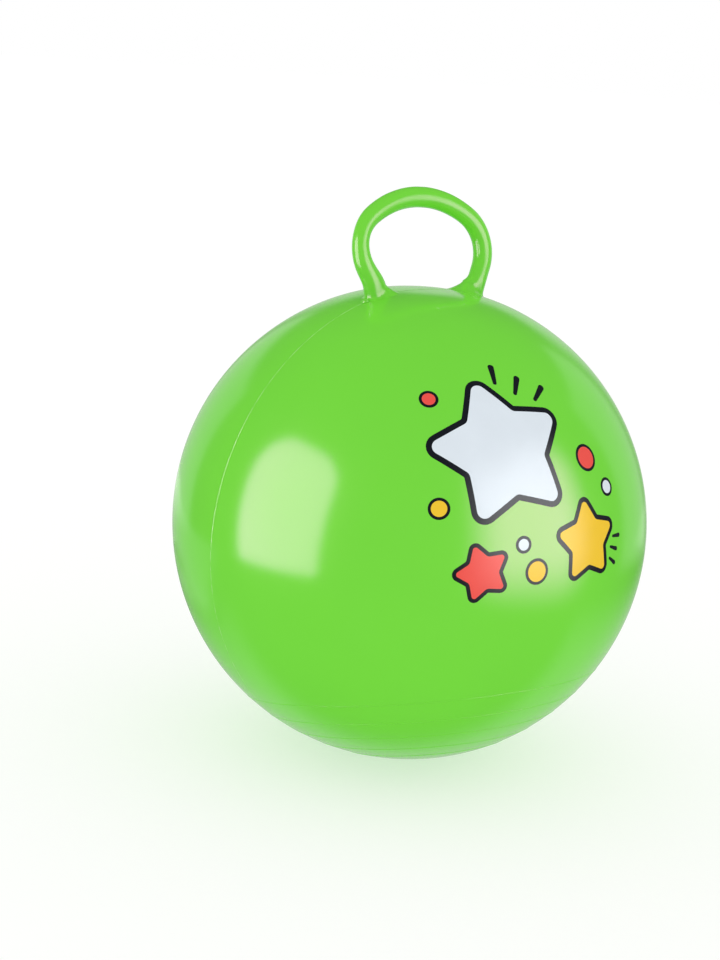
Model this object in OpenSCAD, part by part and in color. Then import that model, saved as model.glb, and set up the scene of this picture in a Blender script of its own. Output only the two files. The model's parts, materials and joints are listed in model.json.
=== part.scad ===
// Hopper ball: an inflated PVC ball that a child sits on, with a loop handle and a plugged air valve.
// Millimetres. Z is up, the loop handle lies across X, the printed side faces -Y and the rider sits on +Y.
// The origin is the centre of the flat on which the ball bears on the floor.

/* [Ball] */
// Outside diameter of the inflated ball
ball_d = 450; // [350:10:650]
// Thickness of the moulded skin
skin_t = 1; // [0.8:0.1:2.5]
// Diameter of the flat where the ball bears on the floor
rest_d = 80; // [50:5:120]

/* [Mould seam] */
// Width of the raised line left where the two mould halves met
seam_w = 1.4; // [0.8:0.1:3]
// Height of that line above the skin
seam_h = 0.3; // [0.1:0.05:0.6]

/* [Loop handle] */
// Diameter of the round grip
grip_d = 18; // [14:0.5:24]
// Wall of the hollow grip
grip_t = 2; // [1.2:0.1:3.5]
// Bend radius of the crown, at the middle of the grip
crown_r = 101; // [90:1:130]
// Angle from the middle of the crown to where a shoulder begins
crown_half = 34; // [28:0.5:38]
// Bend radius of the shoulders, at the middle of the grip
shoulder_r = 38; // [32:1:44]
// Angle by which each leg runs inwards on its way down to its foot
leg_in = 26.5; // [18:0.5:30]
// Height of the crown, to the middle of the grip, up the loop from the line that it leans about
loop_h = 96; // [88:1:115]
// Angle by which the loop leans back towards the rider
loop_back = 14.5; // [5:0.5:20]
// Depth of that line below the top of the ball
lean_depth = 12; // [6:0.5:18]

/* [Handle feet] */
// Height above the ball of the corner where a leg turns to stand square on the ball
foot_corner = 14; // [13:0.5:18]
// Bend radius of that turn, at the middle of the grip
foot_bend = 30; // [20:1:34]
// Radius of the fillet that flares a foot out onto the ball
foot_fillet = 8; // [5:0.5:9]
// Thickness left at the rim of the flare
foot_rim = 0.4; // [0.2:0.1:1]
// Step by which the grip thins on its way down: at the leg, at the neck and at the flare
grip_step = 0.2; // [0.15:0.05:0.3]

/* [Air valve] */
// Angle of the valve below the ball's equator, on the rider's side
valve_drop = 25; // [0:1:50]
// Diameter of the valve's body where it fills the hole in the skin
boss_d = 24; // [21:0.5:30]
// Diameter of the flange behind the skin
flange_d = 36; // [31:0.5:44]
// Thickness of that flange at its middle
flange_t = 2.4; // [1.8:0.1:3.5]
// Outside diameter of the sleeve at its inner end
sleeve_d = 13; // [11.5:0.5:15]
// Depth of the sleeve below the ball's surface
sleeve_l = 18; // [16:0.5:24]
// Diameter of the bore that the plug closes
bore_d = 8; // [6:0.25:9]
// Depth of the seat that takes the plug's head
seat_depth = 1.8; // [1:0.1:2.4]

/* [Valve plug] */
// Diameter of the plug's head
head_d = 17; // [13:0.5:18]
// Thickness of the head at its edge
head_t = 1.6; // [1:0.1:2.4]
// Height of the dome on the head
head_dome = 0.8; // [0.3:0.1:1.5]
// Gap round the head, in its seat
head_gap = 0.5; // [0.3:0.1:1]
// Length of the shank below the head
shank_l = 14; // [12:0.5:15.5]
// Number of sealing rings on the shank
ring_count = 3; // [2:1:4]
// Length of one sealing ring
ring_l = 1.8; // [1:0.1:2.2]
// Depth of the shank's waist between two rings
ring_depth = 0.6; // [0.3:0.05:0.8]
// Diameter of the hollow up the middle of the shank
core_d = 4; // [2:0.25:4]
// Gap between the plug and its bore and seat
plug_gap = 0.08; // [0.05:0.01:0.2]

/* [Hidden] */
$fn = 96;
ball_fn = 256;

// Ball
ball_r = ball_d / 2;
inner_r = ball_r - skin_t;
centre_z = sqrt(ball_r ^ 2 - (rest_d / 2) ^ 2);

// Loop, in its own plane: X across, Y up from the line that it leans about
grip_r = grip_d / 2;
bore_r = grip_r - grip_t;
crown_c = [0, loop_h - crown_r, 0];
shoulder_c = (crown_r - shoulder_r) * [sin(crown_half), cos(crown_half), 0];
shoulder_turn = 90 - crown_half + leg_in;
leg_top = crown_c + shoulder_c + shoulder_r * [cos(leg_in), -sin(leg_in), 0];

// A direction and a point of the loop's plane, about the ball's centre
lean_z = ball_r - lean_depth;
function up_loop(p) = [p.x, p.y * sin(loop_back), p.y * cos(loop_back)];
function on_loop(p) = up_loop(p) + [0, 0, lean_z];

// The right leg's line, from the end of its shoulder down to the corner above its foot
leg_end = on_loop(leg_top);
leg_dir = up_loop([sin(leg_in), cos(leg_in)]);
leg_reach = leg_end * leg_dir;
leg_l = leg_reach - sqrt(leg_reach ^ 2 - leg_end * leg_end + (ball_r + foot_corner) ^ 2);
corner = leg_end - leg_l * leg_dir;
foot_dir = corner / norm(corner);

// The turn between foot and leg: its axis, its angle and how far it reaches from the corner
turn = acos(foot_dir * leg_dir);
turn_axis = cross(foot_dir, leg_dir) / sin(turn);
turn_reach = foot_bend * tan(turn / 2);
neck_top = norm(corner) - turn_reach;

// How far each length of the grip runs up into the next, thicker one
lap = 2;

// Flare of a foot: a fillet between the neck and the ball, in a half plane through the foot's axis
fillet_x = grip_r - 3 * grip_step + foot_fillet;
fillet_from_centre = ball_r + foot_fillet;
fillet_z = sqrt(fillet_from_centre ^ 2 - fillet_x ^ 2);
// The rim lies where the fillet has come down to foot_rim above the ball
rim_from_centre = ball_r + foot_rim;
rim_short_of_fillet = acos((rim_from_centre ^ 2 + fillet_from_centre ^ 2 - foot_fillet ^ 2)
                           / (2 * rim_from_centre * fillet_from_centre));
rim_polar = asin(fillet_x / fillet_from_centre) - rim_short_of_fillet;
rim_r = rim_from_centre * sin(rim_polar);
foot_polar = acos(foot_dir.z);

// Valve, on its own axis: Z outwards from the ball's centre
seat_z = ball_r - seat_depth;
seat_d = head_d + 2 * head_gap;
shank_d = bore_d - 2 * plug_gap;
waist_d = shank_d - 2 * ring_depth;
ring_pitch = shank_l / (ring_count + 0.5);
dome_r = ((head_d / 2) ^ 2 + head_dome ^ 2) / (2 * head_dome);

// Moves in two steps, to a hundredth and then the rest, so that bends meet to the last decimal place
module move_exactly(p) {
    coarse = [for (v = p) round(100 * v) / 100];
    translate(coarse) translate(p - coarse) children();
}

// Sets a piece with its Z along z and its X along x
module set_in(origin, x, z) {
    y = cross(z, x);
    multmatrix([[x.x, y.x, z.x, origin.x],
                [x.y, y.y, z.y, origin.y],
                [x.z, y.z, z.z, origin.z],
                [0, 0, 0, 1]])
        children();
}

module mirrored_pair() {
    children();
    mirror([1, 0, 0]) children();
}

module from_floor() {
    translate([0, 0, centre_z]) children();
}

module on_valve_axis() {
    rotate([-90 - valve_drop, 0, 0]) children();
}

// All of the space from a height above the floor upwards, about the ball's centre
module above(height) {
    translate([-ball_d, -ball_d, height - centre_z]) cube(2 * ball_d);
}

module smooth_ball(r) {
    sphere(r, $fn = ball_fn);
}

// A stretch of the raised mould line, in the plane of the ball's axis and X, between two angles from the top
module seam_arc(from_polar, to_polar) {
    seam_root = inner_r + skin_t / 2;
    rotate([90, 0, 0])
        rotate_extrude(start = 90 - to_polar, angle = to_polar - from_polar, $fn = ball_fn)
            translate([seam_root, -seam_w / 2]) square([ball_r + seam_h - seam_root, seam_w]);
}

// The line runs round under the ball from foot to foot, and over its top between the feet
module mould_seam() {
    outside = foot_polar + rim_polar;
    inside = foot_polar - rim_polar;
    seam_arc(outside, 360 - outside);
    seam_arc(-inside, inside);
}

// A bend of a round bar of radius r, from one angle through another, about Z
module bar_bend(r, bend_r, from, through) {
    rotate_extrude(start = from, angle = through) translate([bend_r, 0]) circle(r);
}

// The crown and the two shoulders of the loop, as a bar of radius r
module loop_bar(r) {
    translate([0, 0, lean_z]) rotate([90 - loop_back, 0, 0]) translate(crown_c) {
        bar_bend(r, crown_r, 90 - crown_half, 2 * crown_half);
        mirrored_pair() move_exactly(shoulder_c) bar_bend(r, shoulder_r, -leg_in, shoulder_turn);
    }
}

// One leg with its turn and its neck, as a bar of radius r that thins on its way down
module leg_bar(r) {
    set_in(corner + turn_reach * leg_dir, cross(turn_axis, leg_dir), leg_dir) {
        cylinder(r = r - grip_step, h = leg_l - turn_reach + lap);
        translate([foot_bend, 0, 0]) rotate([90, 0, 0]) bar_bend(r - grip_step, foot_bend, 180, turn);
    }
    on_foot_axis() translate([0, 0, inner_r - lap])
        cylinder(r = r - 2 * grip_step, h = neck_top + lap - (inner_r - lap));
}

module on_foot_axis() {
    set_in([0, 0, 0], cross(turn_axis, foot_dir), foot_dir) children();
}

module handle_bar(r) {
    loop_bar(r);
    mirrored_pair() leg_bar(r);
}

module foot_flare() {
    on_foot_axis() rotate_extrude() difference() {
        translate([0, inner_r]) square([rim_r, fillet_z - inner_r]);
        translate([fillet_x, fillet_z]) circle(foot_fillet);
    }
}

module ball_skin() {
    color("limegreen") from_floor() difference() {
        intersection() {
            union() {
                smooth_ball(ball_r);
                mould_seam();
            }
            above(0);
        }
        intersection() {
            smooth_ball(inner_r);
            above(skin_t);
        }
        mirrored_pair() leg_bar(bore_r);
        on_valve_axis() cylinder(d = boss_d, h = ball_d);
    }
}

module loop_handle() {
    color("limegreen") from_floor() difference() {
        union() {
            handle_bar(grip_r);
            mirrored_pair() foot_flare();
        }
        smooth_ball(ball_r);
        handle_bar(bore_r);
    }
}

module valve_boss() {
    flange_z = inner_r - flange_t;
    color("limegreen") from_floor() on_valve_axis() difference() {
        union() {
            intersection() {
                translate([0, 0, flange_z]) cylinder(d = boss_d, h = ball_r - flange_z);
                smooth_ball(ball_r);
            }
            intersection() {
                translate([0, 0, flange_z]) cylinder(d = flange_d, h = flange_t);
                smooth_ball(inner_r);
            }
            translate([0, 0, ball_r - sleeve_l])
                cylinder(d1 = sleeve_d, d2 = boss_d, h = flange_z - (ball_r - sleeve_l));
        }
        translate([0, 0, seat_z]) cylinder(d = seat_d, h = ball_d);
        cylinder(d = bore_d, h = ball_d);
    }
}

// A sealing ring: full size at its top, tapered below so that it goes into the bore
module sealing_ring() {
    cylinder(d1 = waist_d, d2 = shank_d, h = ring_l);
}

module valve_plug() {
    color("white") from_floor() on_valve_axis() translate([0, 0, seat_z + plug_gap]) difference() {
        union() {
            cylinder(d = head_d, h = head_t);
            intersection() {
                translate([0, 0, head_t]) cylinder(d = head_d, h = head_dome);
                translate([0, 0, head_t + head_dome - dome_r]) sphere(dome_r, $fn = ball_fn);
            }
            translate([0, 0, -shank_l]) cylinder(d = waist_d, h = shank_l);
            for (i = [1 : ring_count]) translate([0, 0, -i * ring_pitch]) sealing_ring();
        }
        translate([0, 0, -shank_l]) cylinder(d = core_d, h = shank_l - head_t);
    }
}

ball_skin();
loop_handle();
valve_boss();
valve_plug();
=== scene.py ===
"""The looks of a hopper ball: its skin, loop handle, air valve and print, on a pale studio stage.

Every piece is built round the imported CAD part, in metres and in its frame: Z is up, the loop handle lies
across X, the printed side faces -Y and the valve is on +Y. Small sizes are written in millimetres, times MM.
"""

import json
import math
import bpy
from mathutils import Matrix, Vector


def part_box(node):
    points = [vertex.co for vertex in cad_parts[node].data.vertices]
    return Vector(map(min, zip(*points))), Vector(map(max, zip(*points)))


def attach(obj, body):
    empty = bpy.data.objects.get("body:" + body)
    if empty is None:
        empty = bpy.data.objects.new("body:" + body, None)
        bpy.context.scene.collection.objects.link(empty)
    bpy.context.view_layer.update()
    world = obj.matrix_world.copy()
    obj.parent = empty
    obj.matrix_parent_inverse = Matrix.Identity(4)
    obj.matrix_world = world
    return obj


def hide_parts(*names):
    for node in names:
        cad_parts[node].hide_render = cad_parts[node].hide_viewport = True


bl_info = {
    "name": "Hopper Ball",
    "version": (1, 0, 0),
    "blender": (4, 5, 0),
    "location": "3D View > Sidebar > Hopper Ball",
    "description": "Builds a hopper ball with its loop handle, air valve and print on a studio stage",
    "category": "Add Mesh",
}

import bmesh
import bpy
from bpy.props import FloatProperty, FloatVectorProperty, IntProperty, PointerProperty
from bpy.types import Operator, Panel, PropertyGroup
from mathutils import Matrix, Quaternion, Vector, noise

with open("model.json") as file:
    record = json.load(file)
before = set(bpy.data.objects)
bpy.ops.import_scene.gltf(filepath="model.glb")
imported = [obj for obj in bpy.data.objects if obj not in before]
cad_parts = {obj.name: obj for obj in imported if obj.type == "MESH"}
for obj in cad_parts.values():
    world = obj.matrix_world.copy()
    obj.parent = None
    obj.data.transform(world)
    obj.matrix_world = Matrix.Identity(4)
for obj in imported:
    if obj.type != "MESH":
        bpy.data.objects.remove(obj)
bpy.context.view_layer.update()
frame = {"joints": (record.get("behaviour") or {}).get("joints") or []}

MM = 0.001
SKIN_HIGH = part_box("ball_skin")[1]
CAD_SEAM = 0.3 * MM
SKIN_THICKNESS = 1 * MM
VALVE_FIT = 0.05 * MM
BALL_RADIUS = SKIN_HIGH.x - CAD_SEAM
CENTRE = Vector((0, 0, SKIN_HIGH.z - SKIN_HIGH.x))
VALVE_AXIS = Vector(frame["joints"][0]["axis"]).normalized()
LOOP_PIECES = ("handle", "gate_mark")
SKIN_PIECES = ("ball", "rings", "valve_insert", "stopper")
INK_PIECES = ("print_white", "print_black", "print_yellow", "print_coral")


def linear(hex_colour):
    """Linear RGB of an sRGB colour such as "#ff8800"."""
    shares = [int(hex_colour[i:i + 2], 16) / 255 for i in (1, 3, 5)]
    return tuple(s / 12.92 if s <= 0.04045 else ((s + 0.055) / 1.055) ** 2.4 for s in shares)


def length(name, description, default):
    """A length that a user may change, in metres."""
    return FloatProperty(name=name, description=description, default=default, min=0, unit="LENGTH")


def angle(name, description, degrees):
    """An angle that a user may change, given in degrees."""
    return FloatProperty(name=name, description=description, default=math.radians(degrees), subtype="ANGLE")


def colour(name, description, hex_colour):
    """A colour that a user may change, given as an sRGB hex value."""
    return FloatVectorProperty(name=name, description=description, default=linear(hex_colour),
                               min=0, max=1, subtype="COLOR")


class BallSettings(PropertyGroup):
    """Sizes and colours of the ball's skin."""

    green: colour("Green", "Colour of the moulded skin and handle", "#77df3d")
    # The seam line colour is a painted highlight: a paler green that stands in for the glints along the
    # seam's ridge.
    seam_glint: colour("Seam line", "Paler green of the thin flash along the mould seam", "#b6ec92")
    seam_width: length("Seam width", "Width of the raised mould seam", 1.4 * MM)
    seam_height: length("Seam height", "Height of that seam", 0.16 * MM)
    ring_count: IntProperty(name="Rings", description="Fine rings round the underside", default=5,
                            min=0, max=6)
    ring_top: angle("Top ring", "Angle of the first ring below the middle of the ball", 42)
    ring_step: angle("Ring step", "Angle from each ring to the next", 7)
    ring_width: length("Ring width", "Width of a ring", 1.6 * MM)
    ring_height: length("Ring height", "Height of a ring above the skin", 0.26 * MM)
    top_dip: length("Top dip", "How far the skin sinks between the handle's feet", 1.8 * MM)
    dip_reach: length("Dip reach", "Distance from the top at which the dip has faded by two fifths", 26 * MM)
    unevenness: length("Unevenness", "How far the inflated skin swells off a true ball", 0.25 * MM)
    mesh_step: length("Mesh step", "Largest spacing of the skin's rows and columns", 5 * MM)


class HandleSettings(PropertyGroup):
    """Sizes of the loop handle."""

    grip: length("Grip", "Diameter of the round grip", 18 * MM)
    crown_radius: length("Crown radius", "Bend radius of the crown", 101 * MM)
    crown_half: angle("Crown half angle", "From the middle of the crown to a shoulder", 34)
    shoulder_radius: length("Shoulder radius", "Bend radius of the shoulders", 38 * MM)
    leg_in: angle("Leg angle", "Angle by which each leg runs inwards on its way down", 26.5)
    loop_height: length("Loop height", "Height of the crown above the line that it leans about", 96 * MM)
    lean: angle("Lean", "Angle by which the loop leans back towards the rider", 14.5)
    lean_depth: length("Lean depth", "Depth of that line below the top of the ball", 12 * MM)
    corner: length("Foot corner", "Height above the ball at which a leg turns to its foot", 14 * MM)
    foot_bend: length("Foot bend", "Bend radius of that turn", 30 * MM)
    flare: length("Flare", "How far the feet spread on their outer sides", 6.5 * MM)
    flare_in_right: length("Right inner flare", "How far the right foot spreads inwards", 15 * MM)
    flare_in_left: length("Left inner flare", "How far the left foot spreads inwards", 12 * MM)
    gather_right: length("Right gather", "How far the right leg thickens inwards above its foot", 5.2 * MM)
    gather_left: length("Left gather", "How far the left leg thickens inwards above its foot", 3.8 * MM)
    gather_rise_right: length("Right gather rise", "Length of leg over which it does so", 8 * MM)
    gather_rise_left: length("Left gather rise", "Length of leg over which it does so", 26 * MM)
    thick_crown: length("Crown thickening", "How much stouter the crown is in radius", 0.6 * MM)
    thin_left: length("Left thinning", "How much slimmer the left shoulder is in radius", 1.2 * MM)


class ValveSettings(PropertyGroup):
    """Sizes and colour of the air valve and its stopper."""

    white: colour("Stopper", "Colour of the moulded stopper", "#f0f0ec")
    body: length("Body", "Diameter of the valve's body in the skin", 24 * MM)
    flange: length("Flange", "Diameter of the flange behind the skin", 36 * MM)
    seat: length("Seat", "Diameter of the seat that takes the stopper's head", 18 * MM)
    seat_depth: length("Seat depth", "Depth of that seat", 1.8 * MM)
    bore: length("Bore", "Diameter of the bore", 8 * MM)
    sleeve: length("Sleeve", "Outside diameter of the sleeve at its inner end", 13 * MM)
    sleeve_depth: length("Sleeve depth", "Depth of the sleeve below the skin", 18 * MM)
    head: length("Head", "Diameter of the stopper's head", 17 * MM)
    head_edge: length("Head edge", "Thickness of the head at its edge", 1.6 * MM)
    head_dome: length("Head dome", "Height of the dome on the head", 0.8 * MM)
    shank: length("Shank", "Length of the stopper's shank", 14 * MM)
    gap: length("Gap", "Gap between the stopper and its bore and seat", 0.08 * MM)
    ring_count: IntProperty(name="Rings", description="Sealing rings on the shank", default=3, min=1, max=4)


class PrintSettings(PropertyGroup):
    """Place and colours of the print."""

    white: colour("White ink", "Bluish white of the large star", "#e2ebf3")
    black: colour("Black ink", "Bluish black of the outlines and strokes", "#14171f")
    yellow: colour("Yellow ink", "Yellow of the second star", "#f6c92f")
    coral: colour("Coral ink", "Coral red of the small star and dots", "#f2554c")
    around: angle("Around", "Angle of the print's middle from the front, towards the right", -10)
    above: angle("Above", "Angle of the print's middle above the ball's equator", 23)


class StageSettings(PropertyGroup):
    """Viewing angle of the camera."""

    azimuth: angle("Azimuth", "Angle of the camera from the front, towards the right", -40.03)
    elevation: angle("Elevation", "Angle of the camera above the ball's middle", 14.14)
    roll: angle("Roll", "Angle by which the camera leans to its left", 4.77)
    distance: length("Distance", "From the camera to the middle of the ball", 1.8)


SETTINGS = {
    "hopper_ball": BallSettings,
    "hopper_handle": HandleSettings,
    "hopper_valve": ValveSettings,
    "hopper_print": PrintSettings,
    "hopper_stage": StageSettings,
}


# Meshes

def new_mesh_object(name, points, faces, material, sharp_angle=None):
    """Links a smooth mesh object, faces turned outwards, with edges past a sharp angle kept crisp."""
    mesh = bpy.data.meshes.new(name)
    mesh.from_pydata([tuple(p) for p in points], [], faces)
    work = bmesh.new()
    work.from_mesh(mesh)
    bmesh.ops.recalc_face_normals(work, faces=work.faces)
    work.to_mesh(mesh)
    work.free()
    mesh.shade_smooth()
    if sharp_angle is not None:
        mesh.set_sharp_from_angle(angle=sharp_angle)
    mesh.materials.append(material)
    made = bpy.data.objects.new(name, mesh)
    bpy.context.scene.collection.objects.link(made)
    return made


def strip_faces(first, second, closed=True):
    """Quads between two rows of vertex numbers of the same length."""
    count = len(first)
    steps = range(count if closed else count - 1)
    return [(first[i], second[i], second[(i + 1) % count], first[(i + 1) % count]) for i in steps]


def fan_faces(tip, ring):
    """Triangles from one vertex to a closed row of vertex numbers."""
    return [(tip, here, there) for here, there in zip(ring, ring[1:] + ring[:1])]


def add_rows(points, rings):
    """Adds rings of points to a list, and gives the rows of their numbers there."""
    rows = []
    for ring in rings:
        rows.append(list(range(len(points), len(points) + len(ring))))
        points.extend(ring)
    return rows


def tube_faces(rows, whole_round=False):
    """Quads between closed rows of vertex numbers, and from the last to the first if whole_round."""
    faces = []
    for before, now in zip(rows, rows[1:] + rows[:1] if whole_round else rows[1:]):
        faces += strip_faces(before, now)
    return faces


def all_round(first, second, count):
    """Unit directions spread evenly round the plane of two that are square to each other."""
    turns = [math.tau * k / count for k in range(count)]
    return [first * math.cos(t) + second * math.sin(t) for t in turns]


def toward(azimuth, elevation=0.0):
    """Unit direction at an angle from the front, towards the right, and at an angle above the level."""
    level = math.cos(elevation)
    return Vector((math.sin(azimuth) * level, -math.cos(azimuth) * level, math.sin(elevation)))


def round_corners(corners, radii, closed, steps=6):
    """Points of a flat outline whose corners are rounded by arcs of the given radii."""
    points = []
    count = len(corners)
    for i, (corner, radius) in enumerate(zip(corners, radii)):
        here = Vector(corner)
        if radius == 0 or not closed and i in (0, count - 1):
            points.append(here)
            continue
        before = (Vector(corners[i - 1]) - here).normalized()
        after = (Vector(corners[(i + 1) % count]) - here).normalized()
        half = before.angle(after) / 2
        middle = here + (before + after).normalized() * radius / math.sin(half)
        start = here + before * radius / math.tan(half) - middle
        end = here + after * radius / math.tan(half) - middle
        sweep = start.angle_signed(end)
        for k in range(steps + 1):
            points.append(middle + Matrix.Rotation(-sweep * k / steps, 2) @ start)
    return points


def arc_from(axis, sideways, distance):
    """Unit direction that lies a distance along the ball's surface from an axis, in a sideways direction."""
    turn = distance / BALL_RADIUS
    return axis * math.cos(turn) + sideways * math.sin(turn)


def skin_radius(ball, direction):
    """Distance from the ball's centre to its skin, without the mould seam."""
    from_top = BALL_RADIUS * math.acos(max(-1.0, min(1.0, direction.z)))
    dip = ball.top_dip * math.exp(-0.5 * (from_top / ball.dip_reach) ** 2)
    swell_size = 150 * MM
    swell = ball.unevenness * noise.noise(direction * BALL_RADIUS / swell_size)
    return BALL_RADIUS - dip + swell


def skin_point(ball, direction, height=0.0):
    """Point at a height above the ball's skin."""
    return CENTRE + direction * (skin_radius(ball, direction) + height)


# Materials

def add_node(tree, kind, inputs=None, **settings):
    """Adds a node, sets its properties, and fills its inputs with values or with other nodes' outputs."""
    node = tree.nodes.new(kind)
    for name, value in settings.items():
        setattr(node, name, value)
    for socket, value in (inputs or {}).items():
        if isinstance(value, bpy.types.NodeSocket):
            tree.links.new(value, node.inputs[socket])
        else:
            node.inputs[socket].default_value = value
    return node


def new_material(name):
    """An empty node material, its tree, and its output's surface socket."""
    material = bpy.data.materials.new(name)
    material.use_nodes = True
    tree = material.node_tree
    tree.nodes.clear()
    output = add_node(tree, "ShaderNodeOutputMaterial")
    return material, tree, output.inputs["Surface"]


def shaded(rgb, factor):
    """A linear colour made lighter or darker by a factor, as RGBA."""
    return (*(min(1.0, c * factor) for c in rgb), 1.0)


def moulded_pvc(green, seam_glint):
    """Plasticised PVC, moulded against a polished mould and stretched by the air inside.

    The eye sees one even, saturated green under a soft gloss: reflections keep their shape but lose their
    edges. Pigment drifts a little over a hand's breadth and the skin has a shallow orange peel. A broken,
    paler line along the mould seam is a painted highlight, standing in for the glints on the seam's ridge.
    """
    found = bpy.data.materials.get("moulded_pvc_gloss")
    if found:
        return found
    pigment_size, glint_size, haze_size, peel_size = 120 * MM, 9 * MM, 45 * MM, 5 * MM
    material, tree, surface = new_material("moulded_pvc_gloss")
    place = add_node(tree, "ShaderNodeTexCoord").outputs["Object"]
    pigment = add_node(tree, "ShaderNodeTexNoise", {
        "Vector": place, "Scale": 1 / pigment_size, "Detail": 3.0})
    body = add_node(tree, "ShaderNodeMix", {
        "Factor": pigment.outputs["Fac"], "A": shaded(green, 0.97), "B": shaded(green, 1.03)},
        data_type="RGBA")
    # Painted highlight: a broken paler line along the seam stands in for the glints on its ridge.
    broken = add_node(tree, "ShaderNodeTexNoise", {"Vector": place, "Scale": 1 / glint_size, "Detail": 2.0})
    seam = add_node(tree, "ShaderNodeAttribute", attribute_name="seam")
    dashes = add_node(tree, "ShaderNodeMapRange", {
        "Value": broken.outputs["Fac"], "From Min": 0.42, "From Max": 0.56, "To Min": 0.1, "To Max": 0.7})
    share = add_node(tree, "ShaderNodeMath", {
        0: seam.outputs["Fac"], 1: dashes.outputs["Result"]}, operation="MULTIPLY")
    glinted = add_node(tree, "ShaderNodeMix", {
        "Factor": share.outputs["Value"], "A": body.outputs["Result"], "B": shaded(seam_glint, 1.0)},
        data_type="RGBA")
    haze = add_node(tree, "ShaderNodeTexNoise", {"Vector": place, "Scale": 1 / haze_size, "Detail": 4.0})
    rough = add_node(tree, "ShaderNodeMapRange", {
        "Value": haze.outputs["Fac"], "To Min": 0.14, "To Max": 0.2})
    peel = add_node(tree, "ShaderNodeTexNoise", {"Vector": place, "Scale": 1 / peel_size, "Detail": 1.0})
    bump = add_node(tree, "ShaderNodeBump", {
        "Height": peel.outputs["Fac"], "Strength": 0.12, "Distance": 0.03 * MM})
    shader = add_node(tree, "ShaderNodeBsdfPrincipled", {
        "Base Color": glinted.outputs["Result"], "Roughness": rough.outputs["Result"],
        "Normal": bump.outputs["Normal"], "IOR": 1.52})
    tree.links.new(shader.outputs["BSDF"], surface)
    return material


def drifting_finish(name, rgb, shades, drift_size, detail, roughness, relief_size, relief, values):
    """A finish whose colour and gloss drift together over one size, with a finer relief over it."""
    material, tree, surface = new_material(name)
    place = add_node(tree, "ShaderNodeTexCoord").outputs["Object"]
    drift = add_node(tree, "ShaderNodeTexNoise", {
        "Vector": place, "Scale": 1 / drift_size, "Detail": detail})
    body = add_node(tree, "ShaderNodeMix", {
        "Factor": drift.outputs["Fac"], "A": shaded(rgb, shades[0]), "B": shaded(rgb, shades[1])},
        data_type="RGBA")
    rough = add_node(tree, "ShaderNodeMapRange", {
        "Value": drift.outputs["Fac"], "To Min": roughness[0], "To Max": roughness[1]})
    fine = add_node(tree, "ShaderNodeTexNoise", {"Vector": place, "Scale": 1 / relief_size, "Detail": 1.0})
    bump = add_node(tree, "ShaderNodeBump", {
        "Height": fine.outputs["Fac"], "Strength": relief[0], "Distance": relief[1]})
    shader = add_node(tree, "ShaderNodeBsdfPrincipled", {
        "Base Color": body.outputs["Result"], "Roughness": rough.outputs["Result"],
        "Normal": bump.outputs["Normal"], **values})
    tree.links.new(shader.outputs["BSDF"], surface)
    return material


def screen_ink(name, rgb):
    """Vinyl screen ink, pulled through a mesh onto the skin and cured with a little matting agent in it.

    The eye sees a flat, opaque colour whose density drifts slightly, as the squeegee left it, with a finer
    tooth and a weaker gloss than the bare skin's.
    """
    return drifting_finish("screen_ink_" + name, rgb, shades=(0.95, 1.04), drift_size=30 * MM, detail=4.0,
                           roughness=(0.17, 0.24), relief_size=1.5 * MM, relief=(0.1, 0.02 * MM),
                           values={"IOR": 1.5, "Specular IOR Level": 0.32})


def moulded_polyethylene(rgb):
    """White low-density polyethylene, injection moulded in a lightly eroded mould.

    The eye sees a waxy, slightly cloudy white with a dull sheen and a fine, even grain.
    """
    return drifting_finish("moulded_polyethylene", rgb, shades=(0.94, 1.0), drift_size=6 * MM, detail=3.0,
                           roughness=(0.34, 0.46), relief_size=0.5 * MM, relief=(0.25, 0.03 * MM),
                           values={"IOR": 1.51, "Subsurface Weight": 0.15, "Subsurface Scale": 1.5 * MM})


# Ball

def row_angles(ball):
    """Angles of the skin's rows from the seam's plane, close together across the seam and even beyond it."""
    rows_across, seam_edge, growth = 8, 0.6, 1.5
    widest = ball.mesh_step / BALL_RADIUS
    step = ball.seam_width / rows_across / BALL_RADIUS
    angles = [0.0]
    while angles[-1] + step < math.pi / 2 - widest / 2:
        angles.append(angles[-1] + step)
        if angles[-1] * BALL_RADIUS > ball.seam_width * seam_edge:
            step = min(growth * step, widest)
    return [-a for a in reversed(angles[1:])] + angles


def seam_share(ball, direction):
    """Height of the mould seam at a direction, as a share of its full height."""
    across = abs(direction.y) * BALL_RADIUS / (ball.seam_width / 2)
    return math.cos(across * math.pi / 2) ** 2 if across < 1 else 0.0


def mark_seam(made, shares):
    """Stores how much of the painted highlight along the mould seam each point gets, for the skin's colour.
    """
    seam = made.data.attributes.new("seam", "FLOAT", "POINT")
    seam.data.foreach_set("value", shares)


def settle(point):
    """Lets a point of the skin lie on the floor where the ball would reach below it, with a soft edge."""
    softness = 0.5 * MM
    return Vector((point.x, point.y, (point.z + math.hypot(point.z, softness)) / 2))


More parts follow.
